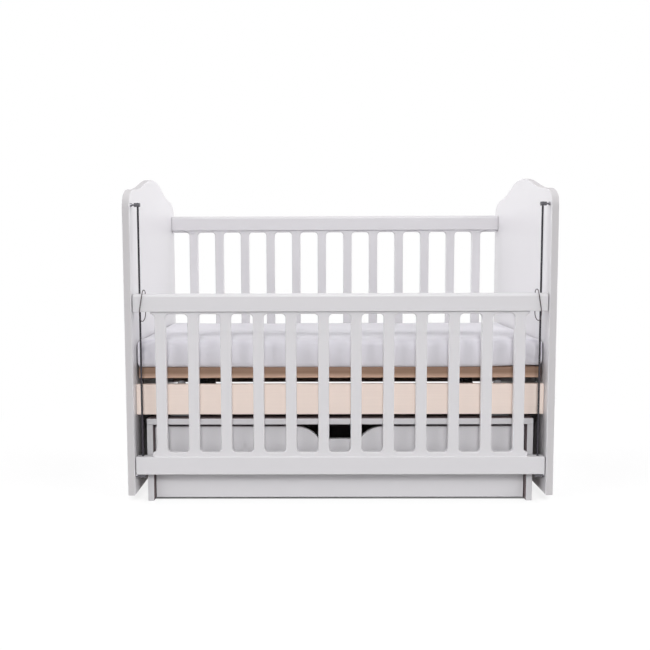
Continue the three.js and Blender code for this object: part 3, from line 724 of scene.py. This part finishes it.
class CRIB_OT_slatted_sides(bpy.types.Operator):
    """Make the routed slat boards of the drop side and the back side"""

    bl_idname = "crib.slatted_sides"
    bl_label = "Slatted sides"

    def execute(self, context):
        edge = context.scene.crib.boards.slat_edge
        sides = (("drop_side_slats", "drop_side", 0.012), ("back_slats", "crib", 0.0647))
        for node, body, outer in sides:
            board = slatted_board(f"routed_{node}", node, outer, edge)
            stand_in(board, node, body, "white_paint")
        return {"FINISHED"}


class CRIB_OT_rails(bpy.types.Operator):
    """Make the four long rails, rounded along the top edges of the upper ones"""

    bl_idname = "crib.rails"
    bl_label = "Rails"

    def execute(self, context):
        boards = context.scene.crib.boards
        rod, play = centre_of("guide_rod_right"), 0.001
        bore = context.scene.crib.fittings.rod_radius + play
        for side, body in (("drop_side", "drop_side"), ("back", "crib")):
            for level in ("top", "bottom"):
                node = f"{side}_{level}_rail"
                low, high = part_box(node)
                rail = block(f"rounded_{node}", low, high)
                if level == "top":
                    bevel(rail, lambda e: runs_along(e, 0) and middle(e).z > high.z - 1e-4,
                          boards.rail_rounding, 8)
                ease(rail, boards.eased_edge)
                if side == "drop_side":
                    for _, sign in ENDS:
                        x, y = sign * rod.x, centre_of(node).y
                        carve(rail, bar("bore", bore, (x, y, low.z - PAST), (x, y, high.z + PAST)))
                stand_in(smooth(rail), node, body, "white_paint")
        return {"FINISHED"}


class CRIB_OT_beams(bpy.types.Operator):
    """Make the two long laminate beams under the platform"""

    bl_idname = "crib.beams"
    bl_label = "Beams"

    def execute(self, context):
        edge = context.scene.crib.boards.eased_edge
        for face, _ in FACES:
            node = f"beam_{face}"
            beam = eased_block(f"laminated_{node}", *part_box(node), edge)
            stand_in(beam, node, "crib", "beam_laminate")
        return {"FINISHED"}


class CRIB_OT_base_case(bpy.types.Operator):
    """Make the four boards of the base case, painted on their edges, with painted shade in a dark
    colour on the flat faces of all but the stretcher
    """

    bl_idname = "crib.base_case"
    bl_label = "Base case"

    def execute(self, context):
        edge = context.scene.crib.boards.eased_edge
        for node in ("base_side_left", "base_side_right", "base_top", "base_stretcher"):
            board = eased_block(f"case_{node}", *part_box(node), edge)
            shaded = node != "base_stretcher"
            # Painted shade: faces that face neither front nor back take the dark colour, except on
            # the stretcher.
            mark_faces(board, lambda normal: float(shaded and abs(normal.y) < 0.1))
            stand_in(board, node, "base", "case_paint")
        return {"FINISHED"}


class CRIB_OT_drawer(bpy.types.Operator):
    """Make the drawer's front with its hand cut-out, and finish its other boards"""

    bl_idname = "crib.drawer"
    bl_label = "Drawer"

    def execute(self, context):
        edge = context.scene.crib.boards.eased_edge
        low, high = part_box("drawer_front")
        brink, bottom, deep = 0.137, 0.0622, 0.040
        half = [
            ((high.x, low.z), None, None),
            ((high.x, high.z), None, None),
            ((brink, high.z), None, (0.1069, high.z)),
            ((bottom, high.z - deep), (0.0789, high.z - 0.015), None),
        ]
        front = flat_board("drawer_face", half + mirrored(half), high.y - low.y, edge,
                           (0, centre_of("drawer_front").y, 0), (math.pi / 2, 0, 0))
        # The drawer's front takes the lighter paint: painted light.
        stand_in(front, "drawer_front", "drawer", "drawer_paint")
        back = eased_block("drawer_rear", *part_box("drawer_back"), edge)
        stand_in(back, "drawer_back", "drawer", "white_paint")
        dress_nodes("white_paint", "drawer_side_left", "drawer_side_right")
        dress_nodes("hardboard", "drawer_bottom")
        return {"FINISHED"}


class CRIB_OT_wheels(bpy.types.Operator):
    """Make the drawer's four wheels with dished hubs"""

    bl_idname = "crib.wheels"
    bl_label = "Wheels"

    def execute(self, context):
        half_width, axle_radius = 0.0045, 0.003
        rim, wall, dish, hub = (0.0035, 0), (0.001, -0.0016), (0.0045, 0), (0.0008, 0.0016)
        for corner, _, end, _ in CORNERS:
            node = f"drawer_wheel_{corner}"
            low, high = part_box(node)
            _, y, z = centre_of(node)
            x = centre_of(f"drawer_side_{end}").x
            wheel = bar(f"roller_{corner}", (high.z - low.z) / 2, (x - half_width, y, z),
                        (x + half_width, y, z), 40)
            inset(wheel, lambda f: abs(f.normal.x) > 0.9, rim, wall, dish, hub)
            smooth(ease(wheel, 0.0006, 2))
            axle = bar("axle", axle_radius, (low.x, y, z), (high.x, y, z), 20)
            only(smooth(ease(axle, 0.0004, 2)))
            wheel.select_set(True)
            context.view_layer.objects.active = wheel
            bpy.ops.object.join()
            stand_in(wheel, node, f"wheel_{corner}", "wheel_plastic")
        return {"FINISHED"}


class CRIB_OT_platform(bpy.types.Operator):
    """Finish the platform's rails and slats in grained wood"""

    bl_idname = "crib.platform"
    bl_label = "Platform"

    def execute(self, context):
        dress_nodes("wood_lengthwise", "platform_rail_front", "platform_rail_back")
        dress_nodes("wood_crosswise", "platform_end_left", "platform_end_right")
        dress_nodes("wood_crosswise", *(f"platform_slat_{index}" for index in range(1, 9)))
        return {"FINISHED"}


# ---- The mattress ----


def coordinates(obj):
    flat = np.empty(len(obj.data.vertices) * 3)
    obj.data.vertices.foreach_get("co", flat)
    return flat.reshape(-1, 3)


def set_coordinates(obj, places):
    obj.data.vertices.foreach_set("co", places.ravel())
    obj.data.update()


def ramp(value, start, stop):
    """0 before start, 1 after stop, and smooth between."""
    t = np.clip((value - start) / (stop - start), 0, 1)
    return t * t * (3 - 2 * t)


def groove(distance, width):
    """1 where the distance is 0, and falling away smoothly at both sides."""
    return np.exp(-((distance / width) ** 2))


def puff_up(obj, settings):
    """Swells the cover with air pressure, and holds each point near where it started."""
    only(obj)
    obj.data.remesh_voxel_size = settings.voxel
    bpy.ops.object.voxel_remesh()
    start = coordinates(obj)
    bpy.ops.object.modifier_add(type="CLOTH")
    cloth = obj.modifiers[-1]
    cloth.settings.use_pressure = True
    cloth.settings.uniform_pressure_force = settings.pressure
    cloth.settings.effector_weights.gravity = 0
    cloth.settings.quality = 5
    scene = bpy.context.scene
    for step in range(1, settings.frames + 1):
        scene.frame_set(step)
    bpy.ops.object.modifier_apply(modifier=cloth.name)
    scene.frame_set(1)
    moved = coordinates(obj) - start
    reach = np.linalg.norm(moved, axis=1, keepdims=True)
    set_coordinates(obj, start + moved * np.minimum(1, settings.puff / np.maximum(reach, 1e-9)))


class CRIB_OT_mattress(bpy.types.Operator):
    """Make the mattress, with its cover puffed out by simulation and rumpled at the corners"""

    bl_idname = "crib.mattress"
    bl_label = "Mattress"

    def execute(self, context):
        settings = context.scene.crib.mattress
        low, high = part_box("mattress")
        gap = Vector((0.001, settings.inset, settings.inset))
        pad = block("mattress_cover", low + gap, high - gap)
        for axis, width in ((0, settings.shoulder), (1, settings.end_shoulder)):
            bevel(pad, lambda e: runs_along(e, axis) and middle(e).z > high.z - 0.01, width, 5)
        bevel(pad, lambda e: not runs_along(e, 2) and middle(e).z < low.z + 0.01, settings.hem, 2)
        bevel(pad, lambda e: runs_along(e, 2), settings.corner, 4)
        puff_up(pad, settings)
        modify(pad, "SUBSURF", levels=1, render_levels=1)
        self.rumple(pad, low, high)
        only(pad)
        bpy.ops.object.shade_smooth()
        stand_in(pad, "mattress", "crib", "mattress_cloth")
        return {"FINISHED"}

    def rumple(self, pad, low, high):
        """Creases along the top edge, pleats at the corners, and a slightly sagging front edge."""
        place = coordinates(pad)
        centre, half = (low + high) / 2, (high - low) / 2
        u, v = place[:, 0] - centre.x, place[:, 1] - centre.y
        rise = (place[:, 2] - low.z) / (high.z - low.z)
        to_end, to_side = half.x - np.abs(u), half.y - np.abs(v)
        on_top, walls = ramp(rise, 0.80, 0.95), 1 - ramp(rise, 0.70, 0.95)
        on_front = walls * ramp(-v, half.y - 0.02, half.y - 0.008)

        # A wavering crease just inside the top edge.
        inward = np.minimum(to_end + 0.006, to_side)
        wave = 0.0022 * np.sin(u * 23 + 0.6) + 0.0016 * np.sin(v * 31 + u * 9)
        seam = groove(inward - 0.010 + wave * 0.6, 0.0045) * ramp(rise, 0.84, 0.96)

        # Upright pleats near the corners, deepest halfway up.
        lean = 0.006 * np.sin(rise * 5 + np.sign(u)) + 0.003 * np.sin(rise * 13 + v * 5)
        pleat = groove(to_end - 0.014 - lean, 0.0055)
        pleat += 0.5 * groove(to_end - 0.046 + lean * 2, 0.009)
        pleat *= walls * ramp(rise, 0.08, 0.4) * (1 - ramp(to_side, 0.0, 0.03))

        # A shallow swell over the top, and a bulge down the long sides.
        swell = 0.0011 * np.sin(u * 11.0 + 1.3) * np.sin(v * 9.0 + 0.4)
        swell += 0.0007 * np.sin(u * 27 + v * 17)
        bulge = 0.0035 * np.sin(np.clip(rise * 1.15, 0, 1) * math.pi)
        bulge += 0.0009 * np.sin(u * 19 + rise * 5)
        place[:, 1] += np.sign(v) * (bulge * walls * ramp(-to_side, -0.02, -0.006) - 0.0032 * pleat)
        place[:, 2] += swell * on_top - 0.0012 * seam

        # A tuck from each corner across the top, 20 degrees off the long side.
        tucks, margin, ahead, across = np.zeros(len(u)), 0.012, 0.94, 0.34
        for sx, sy, sharp in ((-1, -1, 0.8), (1, -1, 0.8), (1, 1, 1.1), (-1, 1, 1.3)):
            from_end, from_side = half.x - margin - sx * u, half.y - margin - sy * v
            along = from_end * ahead + from_side * across
            aside = from_side * ahead - from_end * across
            tuck = groove(aside, 0.006) * ramp(along, -0.01, 0.01) * ramp(along, 0.12, 0.04)
            tuck *= on_top
            place[:, 2] -= 0.0026 * sharp * tuck
            tucks += sharp * tuck

        # The bottom lies flat. Its front edge hangs a little in front of the platform's rail, and
        # sits up at the right end.
        under = 1 - ramp(rise, 0.02, 0.10)
        place[:, 2] += (low.z - place[:, 2]) * under
        hang = on_front * (1 - ramp(rise, 0.0, 0.5)) * ramp(0.60 - np.abs(u), 0.0, 0.35)
        place[:, 2] -= 0.0030 * hang
        lift = ramp(u, 0.42, 0.60) * ramp(-v, 0.10, 0.28) * (1 - ramp(rise, 0.0, 0.8))
        place[:, 2] += 0.0040 * lift

        # The ends reach the panels, and nothing goes far past the CAD mattress.
        place[:, 0] += np.sign(u) * 0.004 * ramp(-to_end, -0.035, -0.004)
        place[:, 0] = np.clip(place[:, 0], low.x - 0.0015, high.x + 0.0015)
        place[:, 1] = np.clip(place[:, 1], low.y - 0.006, high.y + 0.0015)
        set_coordinates(pad, place)

        # Painted shade in the creases: how far each point takes the darker colour, from the seam,
        # tucks and pleats.
        crease_shade_amount = np.clip(0.25 * seam + 0.5 * tucks + 0.45 * pleat, 0, 1)
        mark = pad.data.attributes.new("crease_shade", "FLOAT", "POINT")
        mark.data.foreach_set("value", crease_shade_amount.astype(np.float32))


# ---- Fittings ----


def wire(name, points, radius):
    """A round wire through the points, with closed ends."""
    deselect()
    bpy.ops.curve.primitive_bezier_curve_add()
    obj = bpy.context.object
    curve = obj.data
    spline = new_spline(curve, "3D", len(points))
    for knot, point in zip(spline.bezier_points, points):
        knot.co = point
        knot.handle_left_type = knot.handle_right_type = "AUTO"
    spline.resolution_u = 6
    curve.bevel_depth = radius
    curve.bevel_resolution = 4
    curve.use_fill_caps = True
    return meshed(obj, name, 1e-6, 50)


class CRIB_OT_latches(bpy.types.Operator):
    """Bend the two latch wires on the drop side's top rail"""

    bl_idname = "crib.latches"
    bl_label = "Latch wires"

    def execute(self, context):
        low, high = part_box("drop_side_top_rail")
        rail, y, radius = high.z - low.z, centre_of("drop_side_top_rail").y, 0.00125
        across, reach, arch, loop, hole = 0.0145, 0.0159, 0.0105, 0.0275, 0.012
        for end, sign in ENDS:
            near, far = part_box(f"latch_wire_{end}")
            x = far.x - radius if sign < 0 else near.x + radius
            # Each point: its share of the way across, its share of the reach, and its height.
            path = [
                (0, 0, -hole), (0, 0, -hole / 2), (0, 0, -0.001), (0, 0, arch * 0.4),
                (0.12, 0.3, arch), (0.28, 0.72, arch * 0.92), (0.4, 1, arch * 0.1),
                (0.68, 1, -rail * 0.4), (1, 1, -rail), (1, 0.98, -rail - loop * 0.45),
                (0.84, 0.82, -rail - loop * 0.85), (0.55, 0.54, -rail - loop),
                (0.26, 0.26, -rail - loop * 0.85), (0.05, 0.05, -rail - loop * 0.45),
                (0, 0, -rail + 0.001), (0, 0, -rail + hole / 2), (0, 0, -rail + hole),
            ]
            points = [(x + sign * across * px, y - reach * py, high.z + pz) for px, py, pz in path]
            made = wire(f"bent_latch_{end}", points, radius)
            stand_in(made, f"latch_wire_{end}", f"latch_{end}", "wire")
        return {"FINISHED"}


class CRIB_OT_guide_rods(bpy.types.Operator):
    """Turn the two guide rods and the knurled studs that hold them"""

    bl_idname = "crib.guide_rods"
    bl_label = "Guide rods"

    def execute(self, context):
        for end, sign in ENDS:
            node = f"guide_rod_{end}"
            low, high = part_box(node)
            x, y, _ = centre_of(node)
            radius = context.scene.crib.fittings.rod_radius
            rod = bar(f"polished_{node}", radius, (x, y, low.z), (x, y, high.z))
            stand_in(smooth(ease(rod, 0.0006, 2)), node, "crib", "chrome")
            for level in ("top", "bottom"):
                self.eye(f"rod_eye_{level}_{end}", sign)
        return {"FINISHED"}

    def eye(self, node, sign):
        """A knurled stud, screwed into the panel through a flange, that holds the rod's end."""
        low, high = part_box(node)
        radius, reach = (high.z - low.z) / 2, high.x - low.x
        slope, ridge, valley, pitch = 0.0006, radius, radius * 0.8, 0.0036
        neck, flange = radius * 0.45, reach - 0.0035
        profile = [(0, radius * 0.7), (slope, ridge)]
        for index in range(4):
            at = slope + index * pitch
            profile += [(at + 0.0020, ridge), (at + 0.0024, valley)]
            profile += [(at + 0.0032, valley), (at + pitch, ridge)]
        profile += [
            (0.0172, ridge), (0.0178, neck), (flange, neck), (flange + 0.0002, radius * 0.85),
            (reach - 0.0008, radius * 0.9), (reach, radius * 0.84),
        ]
        tip = centre_of(node)
        tip.x = low.x if sign > 0 else high.x
        stud = turned(f"knurled_{node}", profile, tip, (sign, 0, 0))
        stand_in(smooth(stud, 25), node, "crib", "stud")


def screw(name, radius):
    """A pan-head screw with a cross recess, its head up along Z and its seat at the origin."""
    head = bar(name, radius, (0, 0, 0), (0, 0, radius * 0.55), 24)
    inset(head, lambda f: f.normal.z > 0.9, (radius * 0.28, radius * 0.18))
    slots = [
        block("slot", (-a, -b, radius * 0.35), (a, b, radius * 2))
        for a, b in ((radius * 0.5, radius * 0.12), (radius * 0.12, radius * 0.5))
    ]
    return smooth(ease(carve(head, *slots), radius * 0.06, 1))


class CRIB_OT_screws(bpy.types.Operator):
    """Put screws in the brackets and the swing's plates, and covers over the panel bolts"""

    bl_idname = "crib.screws"
    bl_label = "Screws and covers"

    def execute(self, context):
        fittings = context.scene.crib.fittings
        self.count = 0
        pattern = screw("screw", fittings.screw_head)
        bracket_inset, bracket_drop = 0.0025, 0.0223
        plate, hanger_aside, hanger_drop = 0.004, 0.023, 0.024
        stand_aside, foot = 0.0224, 0.020
        for corner, way, _, sign in CORNERS:
            node = f"platform_bracket_{corner}"
            low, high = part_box(node)
            x, y = (low.x if sign < 0 else high.x) - sign * bracket_inset, centre_of(node).y
            self.place(pattern, (x, y, high.z - bracket_drop), (-sign, 0, 0), "crib")
            node = f"swing_hanger_{corner}"
            low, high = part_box(node)
            x, y = centre_of(node).x, (low.y if way < 0 else high.y) - way * plate
            z = high.z - hanger_drop
            for side in (-1, 1):
                self.place(pattern, (x + side * hanger_aside, y, z), (0, -way, 0), "crib")
            low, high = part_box(f"swing_stand_{corner}")
            y, z = high.y - foot if way < 0 else low.y + foot, low.z + plate
            for side in (-1, 1):
                self.place(pattern, (x + side * stand_aside, y, z), (0, 0, 1), "base")
        bpy.data.objects.remove(pattern)
        self.covers(fittings.cap_radius)
        return {"FINISHED"}

    def place(self, pattern, where, facing, body):
        """Puts a copy of the screw on a plate of the body."""
        self.count += 1
        only(pattern)
        bpy.ops.object.duplicate(linked=False)
        twin = bpy.context.object
        aim(twin, where, facing)
        trim(settle(twin, f"plate_screw_{self.count}"), body, "zinc")

    def covers(self, radius):
        """Low domed covers on the outer faces, one at each bolt into a rail or a beam."""
        sunk, proud, ring = 0.0004, 0.0005, radius * 0.3
        bolts = [(f"beam_{face}", level) for face, _ in FACES for level in (0.25, 0.75)]
        bolts += [("back_top_rail", 0.5), ("back_bottom_rail", 0.5)]
        for end, sign in ENDS:
            low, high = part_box(f"end_panel_{end}")
            face = low.x if sign < 0 else high.x
            for number, (node, level) in enumerate(bolts, 1):
                near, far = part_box(node)
                y, z = (near.y + far.y) / 2, near.z + (far.z - near.z) * level
                cover = bar(f"bolt_cover_{end}_{number}", radius, (face - sign * sunk, y, z),
                            (face + sign * proud, y, z))
                inset(cover, lambda f: f.normal.x * sign > 0.9, (ring, 0.0003), (ring, 0.0001))
                trim(smooth(ease(cover, 0.0002, 2, 30), 60), "crib", "cap_plastic")


class CRIB_OT_swing(bpy.types.Operator):
    """Finish the swing's links, hangers, stands and the platform brackets in zinc"""

    bl_idname = "crib.swing"
    bl_label = "Swing"

    def execute(self, context):
        for kind in ("swing_link", "swing_hanger", "swing_stand", "platform_bracket"):
            dress_nodes("zinc", *(f"{kind}_{corner}" for corner, *_ in CORNERS))
        return {"FINISHED"}


# ---- The studio ----

WHITE = (1, 1, 1, 1)

# Where each part of the studio's surround fades into the next, as shares of a direction's length.
LOW_TO_HIGH, HIGH_TO_OVERHEAD = (0.25, 0.42), (0.70, 0.85)
FRONT_TO_SIDE, SIDE_TO_BEHIND = (0.45, 0.75), (0.6, 0.8)

# In metres from the middle of the floor: where it fades to white, and where the dark front begins.
FADE, DARK_FRONT = (0.7, 1.8), (-1.6, -3.2)


class CRIB_OT_stage(bpy.types.Operator):
    """Make the floor, the surround, one large soft lamp and the camera"""

    bl_idname = "crib.stage"
    bl_label = "Studio"

    def execute(self, context):
        settings = context.scene.crib.stage
        context.scene.view_settings.view_transform = "Standard"
        deselect()
        bpy.ops.mesh.primitive_plane_add(size=60, location=(0, 0, 0))
        ground = settle(context.object, "studio_floor")
        ground.data.materials.append(self.floor(settings))
        self.world(context.scene, settings)
        self.lamp(context, settings.key)
        deselect()
        bpy.ops.object.camera_add(location=settings.camera_place, rotation=settings.camera_turn)
        camera = context.object
        camera.name = "studio_camera"
        camera.data.lens = settings.lens
        camera.data.sensor_width = 36
        camera.data.shift_x, camera.data.shift_y = settings.camera_shift
        camera.data.clip_end = 200
        context.scene.camera = camera
        return {"FINISHED"}

    def floor(self, settings):
        """Pale and matt, with the crib's soft shadow, and fading to plain white where it is seen,
        straight or in metal. To other rays it is duller, and dark in front. Under the case it shows
        that duller tone where it is seen too, as painted shade."""
        finish = Finish("studio_floor")
        here = finish.node("ShaderNodeTexCoord", output="Object")
        away = finish.node("ShaderNodeVectorMath", {0: here}, output="Value", operation="LENGTH")
        low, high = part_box("base_side_left")
        front_gap, soft_end, soft_front = 0.022, 0.006, 0.008
        half, depth = -low.x, (high.y - low.y) / 2 - front_gap
        beside = finish.step(abs(finish.along("X")), half, half + soft_end)
        ahead = abs(finish.along("Y") - centre_of("base_side_left").y)
        before = finish.step(ahead, depth, depth + soft_front)
        # Painted shade: under the case, where the floor is seen, it takes its duller tone, darkening
        # the gap under the drawer.
        seen = finish.seen() * (1.0 - (1.0 - beside) * (1.0 - before))
        pale = scaled(settings.floor)
        tone = finish.mix(finish.noise(120.0) * 0.5, pale, scaled(pale, 0.985))
        front = finish.step(finish.along("Y"), *DARK_FRONT)
        tone = finish.mix(seen, finish.mix(front, (settings.bounce,) * 3, scaled(pale, 0.05)), tone)
        matt = finish.node("ShaderNodeBsdfDiffuse", {"Color": tone, "Roughness": 0.6})
        white = finish.node("ShaderNodeEmission", {"Color": WHITE, "Strength": 1.0})
        share = seen * (0.72 + finish.step(away, *FADE) * 0.28)
        return finish.give(finish.mix_shaders(share, matt, white))

    def world(self, scene, settings):
        """Large pale screens at both sides, and a little light from above and from low behind. The
        studio is dark in front. Where it is seen, straight or in metal, it is plain white."""
        scene.world = bpy.data.worlds.new("studio")
        finish = Finish(world=scene.world)
        across, ahead, height = (finish.along(axis, "Generated") for axis in "XYZ")
        raised = finish.step(height, *LOW_TO_HIGH)
        overhead = finish.step(height, *HIGH_TO_OVERHEAD)
        sides = settings.low_sides + raised * (settings.high_sides - settings.low_sides)
        level = finish.step(abs(across), *FRONT_TO_SIDE) * (1.0 - overhead) * sides
        level = level + finish.step(ahead, *SIDE_TO_BEHIND) * (1.0 - raised) * settings.behind
        level = level + overhead * settings.above
        soft, white = (
            finish.node("ShaderNodeBackground", {"Color": WHITE, "Strength": strength})
            for strength in (level, 1.0)
        )
        finish.give(finish.mix_shaders(finish.seen(), soft, white))

    def lamp(self, context, power):
        """One large lamp, far in front and turned to the middle of the crib."""
        place, middle_of_crib = Vector((0.1, -14.0, 8.6)), Vector((0, 0, 0.5))
        turn = (middle_of_crib - place).to_track_quat("-Z", "Y").to_euler()
        deselect()
        bpy.ops.object.light_add(type="AREA", location=place, rotation=turn)
        lamp = context.object
        lamp.name = "key_lamp"
        lamp.data.shape = "SQUARE"
        lamp.data.size = 4.0
        lamp.data.energy = power


OPERATORS = (
    CRIB_OT_stage,
    CRIB_OT_end_panels,
    CRIB_OT_slatted_sides,
    CRIB_OT_rails,
    CRIB_OT_beams,
    CRIB_OT_base_case,
    CRIB_OT_drawer,
    CRIB_OT_wheels,
    CRIB_OT_platform,
    CRIB_OT_mattress,
    CRIB_OT_guide_rods,
    CRIB_OT_latches,
    CRIB_OT_swing,
    CRIB_OT_screws,
)


class CRIB_PT_panel(bpy.types.Panel):
    """Lists the operators that make the crib"""

    bl_idname = "CRIB_PT_panel"
    bl_label = "Crib"
    bl_space_type = "VIEW_3D"
    bl_region_type = "UI"
    bl_category = "Crib"

    def draw(self, context):
        for operator in OPERATORS:
            self.layout.operator(operator.bl_idname)


GROUPS = (CribBoards, CribPlatform, CribMattress, CribFittings, CribStage, CribSettings)
CLASSES = (*GROUPS, *OPERATORS, CRIB_PT_panel)


def register():
    for made in CLASSES:
        bpy.utils.register_class(made)
    bpy.types.Scene.crib = PointerProperty(type=CribSettings)


def unregister():
    del bpy.types.Scene.crib
    for made in reversed(CLASSES):
        bpy.utils.unregister_class(made)


def main():
    register()
    for operator in OPERATORS:
        getattr(bpy.ops.crib, operator.bl_idname.removeprefix("crib."))()


if __name__ == "__main__":
    main()
